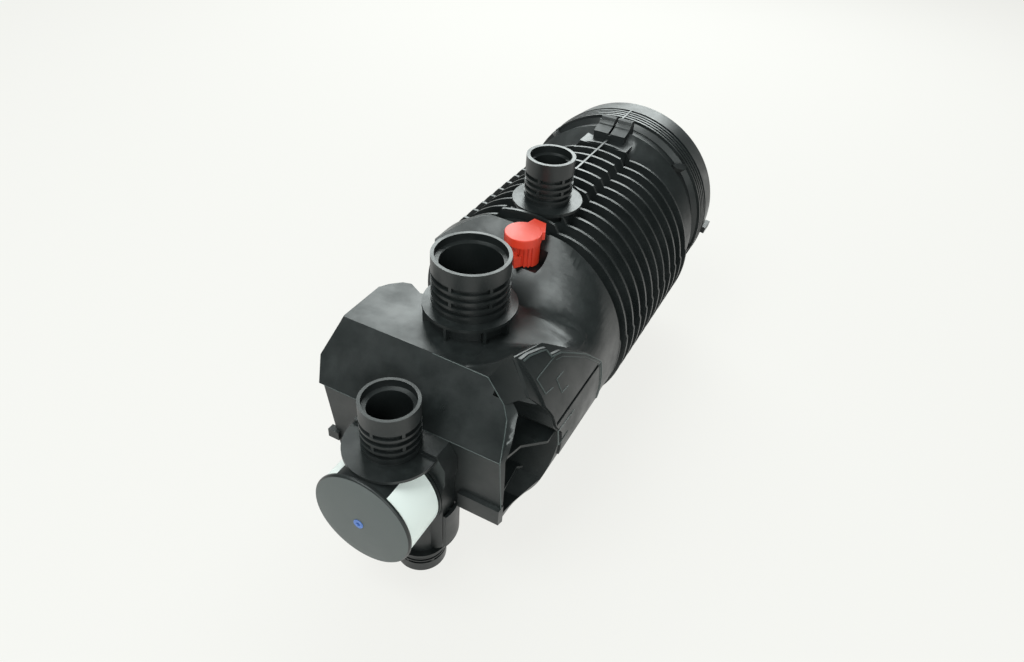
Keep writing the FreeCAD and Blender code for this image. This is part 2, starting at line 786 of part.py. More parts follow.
def cap_room():
    # Hollow in the slope that the cap's shank, wing and ear turn in
    floor_z = cap_base_z - running_gap
    shank = cylinder_z(cap_shank_r + 2.0 * running_gap, floor_z, cap_top_z, cap_x, cap_y)
    wing = cylinder_z(wing_reach + running_gap, floor_z, cap_top_z, cap_x, cap_y)
    wing = wing.common(box(-90.0, 90.0, 0.0, cap_y + wing_room, floor_z - 1.0, cap_top_z))
    ear = cylinder_z(ear_reach + running_gap, cap_top_z - cap_head - running_gap, cap_top_z, cap_x, cap_y)
    return fused([shank, wing, ear])


def cap_seat():
    # Wall around that hollow
    floor_z = cap_base_z - running_gap - wall
    shank = cylinder_z(cap_shank_r + 2.0 * running_gap + wall, floor_z, slope_top_z, cap_x, cap_y)
    wing = cylinder_z(wing_reach + running_gap + wall, floor_z, slope_top_z, cap_x, cap_y)
    return fused([shank, wing.common(box(-90.0, 90.0, 0.0, cap_y + wing_room + wall, floor_z, slope_top_z))])


def front_housing():
    outer = front_form(0.0)
    outer = fused([outer, side_panel()] + front_lip()).cut(pocket(0.0))
    outer = fused([outer, scoop_rim(), fender()])
    outer = outer.cut(box(94.0, 120.0, -43.0, seam_y - 2.0, 11.5, 14.5).cut(
        cylinder_y(body_r + side_panel_out - 1.4, -50.0, seam_y, body_x, body_z)))
    inner = front_form(wall).cut(pocket(wall))
    # The end of the body stays a ring of the barrel's own thickness at the weld
    shell = outer.cut(inner)
    stub = hose_stub(main_x, main_y, main_rim_r, main_wall, main_bore_r, main_rim_z, main_flange_z,
                     main_flange_r, main_band, main_rim_r + 0.8, hood_z - wall)
    neck = tube_z(neck_r, neck_bore_r, 48.0, cap_seal_z - running_gap, cap_x, cap_y)
    dividing = bulkhead().common(outer)
    shell = fused([shell, cap_seat().common(outer), dividing, weld_tongue()])
    shell = shell.cut(cap_room())
    shell = fused([shell, stub, neck] + under_flange(hood_z - 1.0) + pocket_webs())
    shell = shell.cut(cylinder_z(main_bore_r, hood_z - 20.0, main_flange_z, main_x, main_y))
    shell = shell.cut(cylinder_z(neck_bore_r, 40.0, cap_top_z, cap_x, cap_y))
    shell = shell.cut(cylinder_y(seat_r - seat_wall, valve_face_y - 5.0, valve_face_y + 8.0, drum_x, drum_z))
    shell = shell.cut(box(drum_x - adapter_half - running_gap, drain_x + apron_r + running_gap,
                          lip_y - 1.0, valve_face_y, lip_bottom_z - 12.0, panel_bottom_z + 1.0))
    return single(shell.removeSplitter())


# Red vent cap

def vent_cap():
    # Eccentric head with a square ear towards the rear, slotted shank, low wing towards the front left
    head_z = cap_top_z - cap_head
    inner_r = neck_r + running_gap
    head_x, head_y = cap_x + cap_head_dx, cap_y + cap_head_dy
    head = revolve_z([(0.0, head_z), (cap_head_r, head_z), (cap_head_r, cap_top_z - 1.0),
                      (cap_head_r - 0.3, cap_top_z - 0.3), (cap_head_r - 1.0, cap_top_z), (0.0, cap_top_z)],
                     head_x, head_y)
    shank = tube_z(cap_shank_r, inner_r, cap_base_z, head_z + 0.5, cap_x, cap_y)
    ear = top_prism([(116.0, 0.58), (99.0, 0.995), (64.0, 0.995), (18.0, 0.76), (-45.0, 0.3), (162.0, 0.33)],
                    ear_reach, head_z, cap_top_z - 0.5)
    wing = top_prism([(208.0, 0.66), (267.0, 0.995), (288.0, 0.62), (175.0, 0.33)],
                     wing_reach, cap_base_z + wing_lift, wing_top_z)
    cap = fused([head, shank, ear, wing])
    for k in range(4):
        slot = box(cap_shank_r - 1.2, cap_shank_r + 2.0, -0.9, 0.9, cap_base_z - 1.0, head_z)
        slot.rotate(V(0, 0, 0), axisZ, -92.0 + 17.0 * k)
        slot.translate(V(cap_x, cap_y, 0))
        cap = cap.cut(slot)
    return single(cap.cut(cylinder_z(inner_r, cap_base_z - 1.0, head_z - cap_roof + 1.0, cap_x, cap_y)))


def top_prism(corners, reach, z0, z1):
    # A plan view about the cap's axis, its corners as direction and share of the reach
    places = [on_z(cap_x, cap_y, reach * share, degrees) for degrees, share in corners]
    face = Part.Face(polygon([V(x, y, z0) for x, y in places]))
    return face.extrude(V(0, 0, z1 - z0))


def vent_cap_seal():
    return tube_z(neck_r - 0.2, neck_bore_r + 0.3, cap_seal_z, cap_seal_z + cap_seal_thick, cap_x, cap_y)


# Filter element, slid in from the rear

def element_front_cap():
    # Potted cap with rim, core seat and the spigot that enters the bulkhead
    bore = spigot_r - cap_thick
    inner_r = element_r - element_rim
    y0, back_y, rim_y = element_y0, element_y0 + cap_thick, element_y0 + cap_rim
    plate = revolve_y([(y0, bore), (y0, element_r), (rim_y, element_r), (rim_y, inner_r), (back_y, inner_r),
                       (back_y, bore)])
    tip_y = y0 - spigot_len
    groove_r = spigot_r - spigot_groove
    ring_y, ring_y1 = element_seal_y, element_seal_y + element_seal_width + seal_gap
    spigot = revolve_y([(tip_y, bore), (tip_y, spigot_r), (ring_y, spigot_r), (ring_y, groove_r),
                        (ring_y1, groove_r), (ring_y1, spigot_r), (y0 + 1.0, spigot_r), (y0 + 1.0, bore)])
    return single(fused([plate, spigot]))


def element_seal():
    return tube_y(spigot_r + running_gap - seal_gap, spigot_r - spigot_groove + seal_gap,
                  element_seal_y + seal_gap, element_seal_y + element_seal_width)


def element_core():
    # Moulded centre tube with rows of windows
    y0 = element_y0 + cap_thick
    y1 = element_y1 - cap_thick
    core = tube_y(core_r, core_r - core_wall, y0, y1)
    rows = 7
    pitch = (y1 - y0) / rows
    windows = []
    for row in range(rows):
        low_y, high_y = y0 + pitch * (row + 0.13), y0 + pitch * (row + 0.87)
        for k in range(4):
            window = box(-window_half, window_half, low_y, high_y, core_r - 8.0, core_r + 3.0)
            window.rotate(V(0, 0, 0), axisY, 45.0 * (row % 2) + 90.0 * k)
            windows.append(window)
    return single(core.cut(windows[0].multiFuse(windows[1:])))


def star_face(r_out, r_in, y):
    points = []
    for k in range(pleat_count):
        x, z = polar(0, 0, r_out, 360.0 * k / pleat_count)
        points.append(V(x, y, z))
        x, z = polar(0, 0, r_in, 360.0 * (k + 0.5) / pleat_count)
        points.append(V(x, y, z))
    return Part.Face(polygon(points))


def element_media():
    # Pleated paper, closed ring of folds between the caps
    y0 = element_y0 + cap_thick
    y1 = element_y1 - cap_thick
    outer = star_face(media_r, media_inner_r + media_thick * 2.5, y0).extrude(V(0, y1 - y0, 0))
    inner = star_face(media_r - media_thick * 2.5, media_inner_r, y0 - 1.0).extrude(V(0, y1 - y0 + 2.0, 0))
    return single(outer.cut(inner))


def element_rear_cap():
    # Closed end with the bypass port in its middle
    inner_r = element_r - element_rim
    y1, front_y, rim_y = element_y1, element_y1 - cap_thick, element_y1 - cap_rim
    return revolve_y([(y1, bypass_port_r), (y1, element_r), (rim_y, element_r), (rim_y, inner_r),
                      (front_y, inner_r), (front_y, bypass_port_r)])


# Bypass valve behind the rear cap's port

def bypass_cage():
    # Cup with four windows, its floor guides the stem
    y1 = element_y1 - cap_thick
    y0 = y1 - cage_len
    cup = revolve_y([(y0, bypass_stem_r + running_gap), (y0, cage_r), (y1, cage_r), (y1, cage_r - cage_wall),
                     (y0 + 2.0, cage_r - cage_wall), (y0 + 2.0, bypass_stem_r + running_gap)])
    for k in range(4):
        window = box(-6.0, 6.0, y0 + 8.0, y1 - 6.0, cage_r - 6.0, cage_r + 3.0)
        window.rotate(V(0, 0, 0), axisY, 90.0 * k)
        cup = cup.cut(window)
    return single(cup)


def bypass_poppet():
    face_y = element_y1 - cap_thick - running_gap
    end_y = face_y - cage_len - 2.0
    back_y = face_y - poppet_thick
    cone_y = back_y - 1.5 * poppet_thick
    return revolve_y([(face_y, 0.0), (face_y, bypass_r), (back_y, bypass_r), (back_y, bypass_stem_r * 2.3),
                      (cone_y, bypass_stem_r), (end_y, bypass_stem_r), (end_y, 0.0)])


def coil(r, wire, y0, y1, turns, x=0.0, z=0.0):
    # Compression spring along Y, its round wire drawn with six sides
    steps = int(turns * 14)
    rise = y1 - y0 - 2.0 * wire
    sections = []
    for k in range(steps + 1):
        degrees = 360.0 * turns * k / steps
        cx, cz = polar(x, z, r, degrees)
        out_x, out_z = (cx - x) / r, (cz - z) / r
        y = y0 + wire + rise * k / steps
        corners = []
        for side in range(6):
            a = math.radians(60.0 * side)
            reach = wire * math.cos(a)
            corners.append(V(cx + out_x * reach, y + wire * math.sin(a), cz + out_z * reach))
        sections.append(Part.Wire(polygon(corners)))
    return Part.makeLoft(sections, True, True)


def bypass_spring():
    y1 = element_y1 - cap_thick - running_gap - poppet_thick
    y0 = element_y1 - cap_thick - cage_len + 2.0
    return coil(bypass_spring_r, spring_wire, y0, y1, 4.0)


# Front diaphragm valve

def valve_outline(y):
    # Adapter plate: chamfered shoulders above, straight leg down to the drain
    top, leg, foot_z = adapter_half - 7.0, adapter_half - 2.0, drain_flange_z + 6.0
    right = [(top, crease_z), (adapter_half, -12.0), (adapter_half, -26.0), (leg, -33.0), (leg, foot_z + 6.0),
             (leg - 6.5, foot_z)]
    left = [(-4.0, foot_z), (-14.0, foot_z + 8.0), (-30.0, -84.0), (-adapter_half, -66.0), (-adapter_half, -12.0),
            (-top, crease_z)]
    points = right + left
    return Part.Face(polygon([V(x, y, z) for x, z in points]))


def drain_leg():
    # Pipe down to the drain stub inside a half-round apron with ribs, open towards the front
    pipe = cylinder_z(drain_bore_r + drain_wall, drain_flange_z - 0.5, apron_top_z, drain_x, drain_y)
    apron = tube_z(apron_r, apron_r - drain_wall, apron_low_z, apron_top_z, drain_x, drain_y)
    apron = apron.cut(box(-90.0, 90.0, -160.0, collar_front_y, apron_low_z - 1.0, apron_top_z + 1.0))
    shapes = [pipe, apron]
    rib_in, rib_out = drain_bore_r + 1.5, apron_r - drain_wall / 2
    for x0, x1 in ((drain_x - rib_out, drain_x - rib_in), (drain_x + rib_in, drain_x + rib_out)):
        shapes.append(box(x0, x1, drain_y - 1.2, drain_y + 1.2, apron_low_z + 6.0, apron_top_z))
    return shapes


def valve_body():
    adapter = valve_outline(collar_front_y).extrude(V(0, valve_face_y - collar_front_y, 0))
    ring_profile = [(drum_end_y, drum_r - 4.5), (drum_end_y, disc_r), (drum_end_y + 1.5, disc_r),
                    (drum_end_y + 1.5, disc_r - 1.4), (drum_end_y + 2.6, disc_r - 1.4),
                    (drum_end_y + 2.6, disc_r), (collar_front_y + 0.5, disc_r),
                    (collar_front_y + 0.5, drum_r - 4.5)]
    collar = revolve_y(ring_profile, drum_x, drum_z)
    plinth = cylinder_z(front_rim_r + 2.0, -20.0, front_flange_z - 1.0, front_x, front_y)
    stub = hose_stub(front_x, front_y, front_rim_r, front_wall, front_bore_r, front_rim_z, front_flange_z,
                     front_flange_r, front_band, front_rim_r + 1.0, -12.0)
    drain = hose_stub(drain_x, drain_y, drain_rim_r, drain_wall, drain_bore_r, drain_rim_z, drain_flange_z,
                      drain_flange_r, drain_band, drain_bore_r + drain_wall, drain_flange_z + 8.0, rings=2)
    body = fused([adapter, collar, plinth, stub, drain] + drain_leg())
    chamber = cylinder_y(drum_r - 4.5, drum_end_y - 1.0, valve_face_y - wall, drum_x, drum_z)
    room = cylinder_y(drum_r + label_thick + 2.0 * running_gap, disc_y - 5.0, drum_end_y, drum_x, drum_z)
    seat = tube_y(seat_r, seat_r - seat_wall, plate_back_y + valve_travel, valve_face_y, drum_x, drum_z)
    body = body.cut(chamber).cut(room)
    body = body.cut(cylinder_z(front_bore_r, drum_z, front_flange_z, front_x, front_y))
    drain_bore = cylinder_z(drain_bore_r, drain_flange_z - 2.0, drain_top_z, drain_x, drain_y)
    body = body.cut(drain_bore.cut(room))
    body = fused([body, seat])
    body = body.cut(cylinder_y(seat_r - seat_wall, collar_front_y, valve_face_y + 1.0, drum_x, drum_z))
    body = body.cut(tube_y(gasket_r, gasket_r - gasket_width, valve_face_y - gasket_thick, valve_face_y + 1.0,
                           drum_x, drum_z))
    body = body.cut(box(-90.0, 90.0, valve_face_y, 0.0, lip_bottom_z - 2.0 * wall, crease_z + 1.0))
    body = body.cut(hood_solid(-running_gap))
    return single(body.removeSplitter())


def valve_cover():
    # Drum: thin cup with a wider front disc, its face slightly crowned
    hole = indicator_r - 0.8
    back_y = disc_y + disc_thick
    steps = 5
    crown = []
    for k in range(steps):
        r = hole + (disc_r - 1.0 - hole) * k / steps
        crown.append((disc_y - disc_crown * (1.0 - (r / disc_r) ** 2), r))
    profile = crown + [(disc_y, disc_r - 1.0), (disc_y + 1.0, disc_r), (back_y, disc_r), (back_y, drum_r),
                       (drum_end_y, drum_r), (drum_end_y, drum_r - drum_wall), (back_y, drum_r - drum_wall),
                       (back_y, hole)]
    return revolve_y(profile, drum_x, drum_z)


def indicator_ring():
    # Blue insert around the small vent hole in the disc
    hole = indicator_r - 0.8
    inner = indicator_r * 0.42
    face_y = disc_y - disc_crown
    profile = [(face_y - 0.6, inner), (face_y - 0.6, indicator_r), (face_y, indicator_r), (face_y, hole),
               (disc_y + disc_thick + 1.0, hole), (disc_y + disc_thick + 1.0, inner)]
    return revolve_y(profile, drum_x, drum_z)


def label(side):
    # Blank label wrapped round one side of the drum
    inner = drum_r + label_gap
    strip = tube_y(inner + label_thick, inner, disc_y + disc_thick + 0.2, drum_end_y - 0.8, drum_x, drum_z)
    points = [(drum_x, drum_z)]
    steps = 4
    for k in range(steps + 1):
        angle = side * (label_start_deg + (label_end_deg - label_start_deg) * k / steps)
        points.append(polar(drum_x, drum_z, 80.0, angle))
    return strip.common(front_prism(points, disc_y - 2.0, drum_end_y + 2.0))


def diaphragm():
    # Rubber disc: clamped bead, rolling fold, flat centre
    y = drum_end_y - bead_thick
    outer = drum_r - drum_wall - seal_gap
    skin = diaphragm_thick
    fold_y = y - 3.5
    front = [(y, 0.0), (y, plate_r + 1.0), (fold_y, plate_r + 4.0), (fold_y, outer - 7.0), (y, outer - 4.0),
             (y, outer)]
    back = [(drum_end_y, outer), (drum_end_y, outer - 2.4), (y + skin, outer - 2.9),
            (fold_y + 0.2 + skin, outer - 6.4), (fold_y + 0.2 + skin, plate_r + 4.6), (y + skin, plate_r + 1.4),
            (y + skin, 0.0)]
    return revolve_y(front + back, drum_x, drum_z)


def diaphragm_plate():
    y = plate_back_y - plate_thick
    return revolve_y([(y, 0.0), (y, plate_r), (plate_back_y, plate_r), (plate_back_y, 0.0)], drum_x, drum_z)


def valve_spring():
    # Holds the diaphragm off the seat
    return coil(valve_spring_r, spring_wire, plate_back_y, valve_face_y - wall, 2.0, drum_x, drum_z)


def valve_gasket():
    outer, inner = gasket_r - seal_gap, gasket_r - gasket_width + seal_gap
    return tube_y(outer, inner, valve_face_y - gasket_thick, valve_face_y, drum_x, drum_z)


nodes = {
    "front_housing": front_housing,
    "rear_barrel": rear_barrel,
    "end_cover": end_cover,
    "cover_seal": cover_seal,
    "vent_cap": vent_cap,
    "vent_cap_seal": vent_cap_seal,
    "element_front_cap": element_front_cap,
    "element_rear_cap": element_rear_cap,
    "element_core": element_core,
    "element_media": element_media,
    "element_seal": element_seal,
    "bypass_cage": bypass_cage,
    "bypass_poppet": bypass_poppet,
    "bypass_spring": bypass_spring,
    "valve_body": valve_body,
    "valve_cover": valve_cover,
    "indicator_ring": indicator_ring,
    "label_right": lambda: label(1.0),
    "label_left": lambda: label(-1.0),
    "diaphragm": diaphragm,
    "diaphragm_plate": diaphragm_plate,
    "valve_spring": valve_spring,
    "valve_gasket": valve_gasket,
}

os.makedirs("parts", exist_ok=True)
for name, make in nodes.items():
    shape = make()
    shape.translate(V(0, 0, -main_rim_z))
    print(name, shape.isValid(), len(shape.Solids), round(shape.Volume / 1000.0, 1), "cm3")
    shape.exportStep("parts/" + name + ".step")
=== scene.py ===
import json
import math

import bmesh
import bpy
from mathutils import Matrix, Vector


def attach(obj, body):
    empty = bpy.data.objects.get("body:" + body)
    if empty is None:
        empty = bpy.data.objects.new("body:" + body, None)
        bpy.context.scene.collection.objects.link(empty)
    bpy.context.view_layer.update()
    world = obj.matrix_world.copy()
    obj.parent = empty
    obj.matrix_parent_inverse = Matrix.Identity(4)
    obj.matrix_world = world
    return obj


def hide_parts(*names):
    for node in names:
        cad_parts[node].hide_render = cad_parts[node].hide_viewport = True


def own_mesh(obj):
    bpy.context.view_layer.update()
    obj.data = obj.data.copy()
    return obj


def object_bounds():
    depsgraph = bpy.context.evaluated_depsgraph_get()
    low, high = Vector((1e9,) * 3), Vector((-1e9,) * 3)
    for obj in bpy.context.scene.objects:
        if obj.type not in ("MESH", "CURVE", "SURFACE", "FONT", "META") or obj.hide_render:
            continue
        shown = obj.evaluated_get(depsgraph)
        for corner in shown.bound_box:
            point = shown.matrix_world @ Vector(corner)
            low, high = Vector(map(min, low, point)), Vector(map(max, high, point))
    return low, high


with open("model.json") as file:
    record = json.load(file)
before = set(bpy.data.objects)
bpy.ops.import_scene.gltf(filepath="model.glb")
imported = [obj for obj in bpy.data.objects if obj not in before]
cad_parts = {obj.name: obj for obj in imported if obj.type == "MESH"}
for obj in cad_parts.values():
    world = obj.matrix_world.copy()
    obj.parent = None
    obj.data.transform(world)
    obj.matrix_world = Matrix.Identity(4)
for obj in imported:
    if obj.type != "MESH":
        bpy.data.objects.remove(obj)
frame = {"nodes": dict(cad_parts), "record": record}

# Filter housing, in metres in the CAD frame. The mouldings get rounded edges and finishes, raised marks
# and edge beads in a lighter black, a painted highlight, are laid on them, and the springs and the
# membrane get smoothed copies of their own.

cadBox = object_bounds()
mm = 0.001
rimZ = 99.1                                    # main stub's rim above the cover's axis, mm
mergeGap = 2e-6                                # joins the loose triangles of a CAD mesh, m
tinyGap = 1e-6                                 # below this, m, two points of a new mesh are one


def place(x, y, z):
    # A point given from the cover's axis, in mm
    return Vector((x, y, z - rimZ)) * mm


# Materials

def linear(hexColor):
    # The sRGB curve, from a hex colour to what a shader takes
    channels = []
    for k in (0, 2, 4):
        c = int(hexColor[k:k + 2], 16) / 255.0
        channels.append(c / 12.92 if c <= 0.04045 else ((c + 0.055) / 1.055) ** 2.4)
    return (*channels, 1.0)


def addNode(tree, kind, settings=None, links=None):
    node = tree.nodes.new(kind)
    for key, value in (settings or {}).items():
        if isinstance(key, int) or key in node.inputs:
            node.inputs[key].default_value = value
        else:
            setattr(node, key, value)
    for key, source in (links or {}).items():
        tree.links.new(source, node.inputs[key])
    return node


def noiseScale(sizeMm):
    return 1.0 / (sizeMm * mm)


# base and worn are mixed by the blotches, dust lies on what faces up; grain and blotches are sizes in mm
mouldedBlack = dict(base="161919", worn="1f2323", dust="3f4645", rough=0.40, spread=0.13,
                    grainMm=0.9, blotchMm=34.0, bump=0.12)
mouldedGrey = dict(base="4c5150", worn="565b5a", dust="6c7170", rough=0.50, spread=0.06,
                   grainMm=0.8, blotchMm=30.0, bump=0.08)
capRed = dict(base="d8341d", worn="e0432b", dust="ea6a52", rough=0.46, spread=0.07,
              grainMm=0.7, blotchMm=12.0, bump=0.10)
insertBlue = dict(base="3f66ad", worn="5a7cc0", dust="7f98cf", rough=0.40, spread=0.05,
                  grainMm=0.4, blotchMm=4.0, bump=0.05)
naturalNylon = dict(base="c9c6ba", worn="d4d1c6", dust="dedbd0", rough=0.50, spread=0.06,
                    grainMm=0.8, blotchMm=20.0, bump=0.06)
pottedCap = dict(base="3a4048", worn="4a5058", dust="5b6068", rough=0.50, spread=0.06,
                 grainMm=0.8, blotchMm=20.0, bump=0.06)
# The raised marks and edge beads take this lighter black as a painted highlight, for the light their
# rounded edges catch
paintedHighlightBlack = dict(mouldedBlack, base="343b3a", worn="4a5251", dust="656d6c")
nitrile = dict(mouldedBlack, base="121314", worn="1b1d1e", dust="2b2d2e", rough=0.58)
blankFilm = dict(base="f0f6f2", worn="f4faf6", dust="e9f0ec", rough=0.38, spread=0.05,
                 grainMm=1.6, blotchMm=22.0, bump=0.03)
resinPaper = dict(base="c8b183", worn="d6c197", dust="e0cda6", rough=0.85, spread=0.06,
                  grainMm=0.6, blotchMm=9.0, bump=0.35)
drawnSteel = dict(color="a9adb0", markMm=0.8, smooth=0.22, dull=0.38)

polyamideIor = 1.53
grainDepth = 0.0002                            # how deep the eroded grain is, m
dustLayer = dict(size=0.35, thinAt=0.48, fullAt=0.80, share=0.30, tiltFrom=0.25, tiltTo=0.95)
blotchRange = (0.3, 0.7)                       # what the noise mostly gives
mixA, mixB, mixResult = 6, 7, 2                # colour sockets of the Mix node


def mouldedPlastic(name, look):
    # Injection-moulded nylon: fine eroded grain, faint flow blotches, dust on what faces up
    material = bpy.data.materials.new(name)
    material.use_nodes = True
    tree = material.node_tree
    shader = tree.nodes["Principled BSDF"]
    coords = addNode(tree, "ShaderNodeTexCoord").outputs["Object"]
    grain = addNode(tree, "ShaderNodeTexNoise",
                    {"Scale": noiseScale(look["grainMm"]), "Detail": 3.0, "Roughness": 0.6},
                    {"Vector": coords})
    blotch = addNode(tree, "ShaderNodeTexNoise",
                     {"Scale": noiseScale(look["blotchMm"]), "Detail": 5.0, "Roughness": 0.62},
                     {"Vector": coords})
    specks = addNode(tree, "ShaderNodeTexNoise",
                     {"Scale": noiseScale(look["blotchMm"] * dustLayer["size"]), "Detail": 8.0,
                      "Roughness": 0.75}, {"Vector": coords})
    geometry = addNode(tree, "ShaderNodeNewGeometry")
    normal = addNode(tree, "ShaderNodeSeparateXYZ", {}, {0: geometry.outputs["Normal"]})
    faceUp = addNode(tree, "ShaderNodeMapRange",
                     {"From Min": dustLayer["tiltFrom"], "From Max": dustLayer["tiltTo"]},
                     {"Value": normal.outputs["Z"]})
    dustMask = addNode(tree, "ShaderNodeMapRange",
                       {"From Min": dustLayer["thinAt"], "From Max": dustLayer["fullAt"],
                        "To Max": dustLayer["share"]}, {"Value": specks.outputs["Fac"]})
    dustUp = addNode(tree, "ShaderNodeMath", {"operation": "MULTIPLY"},
                     {0: faceUp.outputs[0], 1: dustMask.outputs[0]})
    tint = addNode(tree, "ShaderNodeMix",
                   {"data_type": "RGBA", mixA: linear(look["base"]), mixB: linear(look["worn"])},
                   {"Factor": blotch.outputs["Fac"]})
    dusty = addNode(tree, "ShaderNodeMix", {"data_type": "RGBA", mixB: linear(look["dust"])},
                    {"Factor": dustUp.outputs[0], mixA: tint.outputs[mixResult]})
    rough = addNode(tree, "ShaderNodeMapRange",
                    {"From Min": blotchRange[0], "From Max": blotchRange[1],
                     "To Min": look["rough"] - look["spread"], "To Max": look["rough"] + look["spread"]},
                    {"Value": blotch.outputs["Fac"]})
    bump = addNode(tree, "ShaderNodeBump", {"Strength": look["bump"], "Distance": grainDepth},
                   {"Height": grain.outputs["Fac"]})
    tree.links.new(dusty.outputs[mixResult], shader.inputs["Base Color"])
    tree.links.new(rough.outputs[0], shader.inputs["Roughness"])
    tree.links.new(bump.outputs["Normal"], shader.inputs["Normal"])
    shader.inputs["IOR"].default_value = polyamideIor
    return material


def springSteel(name, look):
    # Cold-drawn spring wire, bright with faint drawing marks
    material = bpy.data.materials.new(name)
    material.use_nodes = True
    tree = material.node_tree
    shader = tree.nodes["Principled BSDF"]
    coords = addNode(tree, "ShaderNodeTexCoord").outputs["Object"]
    marks = addNode(tree, "ShaderNodeTexNoise", {"Scale": noiseScale(look["markMm"]), "Detail": 4.0},
                    {"Vector": coords})
    rough = addNode(tree, "ShaderNodeMapRange",
                    {"From Min": blotchRange[0], "From Max": blotchRange[1],
                     "To Min": look["smooth"], "To Max": look["dull"]}, {"Value": marks.outputs["Fac"]})
    tree.links.new(rough.outputs[0], shader.inputs["Roughness"])
    shader.inputs["Base Color"].default_value = linear(look["color"])
    shader.inputs["Metallic"].default_value = 1.0
    return material


print("materials")
housingBlack = mouldedPlastic("housingBlackNylon", mouldedBlack)
paintedHighlightNylon = mouldedPlastic("ribPaintedHighlightNylon", paintedHighlightBlack)
drumGrey = mouldedPlastic("drumGreyNylon", mouldedGrey)
redCap = mouldedPlastic("capRedNylon", capRed)
blueInsert = mouldedPlastic("insertBlueNylon", insertBlue)
nylonCore = mouldedPlastic("coreNaturalNylon", naturalNylon)
pottedGrey = mouldedPlastic("pottedCapNylon", pottedCap)
sealRubber = mouldedPlastic("sealNitrile", nitrile)             # near black, faint bloom, soft sheen
labelFilm = mouldedPlastic("labelBlankFilm", blankFilm)         # off-white with a mint cast, smooth
pleatPaper = mouldedPlastic("pleatedPaper", resinPaper)         # resin-treated cellulose, fine fibres
wireSteel = springSteel("springWire", drawnSteel)

nodeFinish = {
    "front_housing": housingBlack, "rear_barrel": housingBlack, "end_cover": housingBlack,
    "valve_body": housingBlack, "valve_cover": drumGrey, "indicator_ring": blueInsert,
    "label_right": labelFilm, "label_left": labelFilm, "vent_cap": redCap,
    "cover_seal": sealRubber, "vent_cap_seal": sealRubber, "element_seal": sealRubber,
    "valve_gasket": sealRubber, "diaphragm": sealRubber, "element_front_cap": pottedGrey,
    "element_rear_cap": pottedGrey, "element_core": nylonCore, "bypass_cage": nylonCore,
    "bypass_poppet": nylonCore, "diaphragm_plate": nylonCore, "element_media": pleatPaper,
    "bypass_spring": wireSteel, "valve_spring": wireSteel,
}
nodeBody = {}
for body, members in frame["record"]["behaviour"]["bodies"].items():
    for member in members:
        nodeBody[member] = body


def setMaterial(piece, material):
    piece.data.materials.clear()
    piece.data.materials.append(material)


def newPiece(name, bm, mesh, material):
    bm.to_mesh(mesh)
    bm.free()
    piece = bpy.data.objects.new(name, mesh)
    bpy.context.scene.collection.objects.link(piece)
    setMaterial(piece, material)
    return piece


# Right of the main flange the mould bends softly from its slope into its round side, where the CAD
# has a crease. Everything is in mm from the cover's axis.
shoulder = dict(bodyX=2.0, bodyZ=-9.0, bodyR=97.0, hoodZ=42.0, footY=33.0, climb=0.875, stubR=43.0,
                lowX=-10.0, highX=100.0, startY=-6.0, endY=80.1, lowZ=-5.0, skinDepth=12.0, hollow=11.0,
                cell=4, cutX=(-8, 100), cutY=(-6, 80), slack=0.3, underHood=1.0, stubFade=12.0)
# How wide the bend is along y: y, width
blendReach = [(-6.0, 0.5), (4.0, 10.0), (20.0, 40.0), (40.0, 48.0), (64.0, 32.0), (80.0, 8.0)]


def reachAt(y):
    for (y0, low), (y1, high) in zip(blendReach, blendReach[1:]):
        if y <= y1:
            return low + (high - low) * max(y - y0, 0.0) / (y1 - y0)
    return blendReach[-1][1]


def hardHeights(x, y):
    # Heights of the flat slope and of the round side, as the CAD has them
    look = shoulder
    slope = look["hoodZ"] + max(y - look["footY"], 0.0) * look["climb"]
    return slope, look["bodyZ"] + math.sqrt(max(look["bodyR"] ** 2 - (x - look["bodyX"]) ** 2, 0.0))


def inShoulder(x, y, z):
    look = shoulder
    inside = (look["lowX"] < x < look["highX"] and look["startY"] < y < look["endY"]
              and z > look["lowZ"])
    return inside and (math.hypot(x, y) > look["stubR"] or z < look["hoodZ"] - look["underHood"])


def soften(bm):
    # Both skins are cut into cells, then sink where slope and side meet, as far as a rounded minimum of
    # the two lies below them. The slope's foot gets a small hollow. The raised step panel stays.
    look = shoulder
    zone = bm.faces.layers.int.new("zone")
    for face in bm.faces:
        points = [vert.co for vert in face.verts] + [face.calc_center_median()]
        spots = [(point.x / mm, point.y / mm, point.z / mm + rimZ) for point in points]
        face[zone] = int(any(inShoulder(*spot) for spot in spots))
    cuts = [((x * mm, 0.0, 0.0), (1.0, 0.0, 0.0)) for x in range(*look["cutX"], look["cell"])]
    cuts += [((0.0, y * mm, 0.0), (0.0, 1.0, 0.0)) for y in range(*look["cutY"], look["cell"])]
    for point, normal in cuts:
        faces = [face for face in bm.faces if face[zone] == 1]
        edges = {edge for face in faces for edge in face.edges}
        verts = {vert for face in faces for vert in face.verts}
        bmesh.ops.bisect_plane(bm, geom=list(verts) + list(edges) + faces, dist=tinyGap,
                               plane_co=point, plane_no=normal)
    moved = 0
    for vert in {vert for face in bm.faces if face[zone] == 1 for vert in face.verts}:
        x, y, z = vert.co.x / mm, vert.co.y / mm, vert.co.z / mm + rimZ
        panelSide = math.hypot(x - look["bodyX"], z - look["bodyZ"]) > look["bodyR"] + look["slack"]
        if panelSide or not inShoulder(x, y, z):
            continue
        slope, side = hardHeights(x, y)
        depth = min(slope, side) - z
        if depth < -look["slack"]:
            continue
        reach = reachAt(y)
        mixed = max(reach - abs(slope - side), 0.0) / reach
        sink = mixed * mixed * reach / 4.0
        lift = 0.0
        if slope < side:
            foot = max(look["hollow"] - abs(y - look["footY"]), 0.0) / look["hollow"]
            clear = min((math.hypot(x, y) - look["stubR"]) / look["stubFade"], 1.0)
            lift = foot ** 2 * look["hollow"] * look["climb"] / 4.0 * clear
        fade = min(max(2.0 - depth / look["skinDepth"], 0.0), 1.0)
        vert.co.z += (lift - sink) * fade * mm
        moved += 1
    print("shoulder", moved)


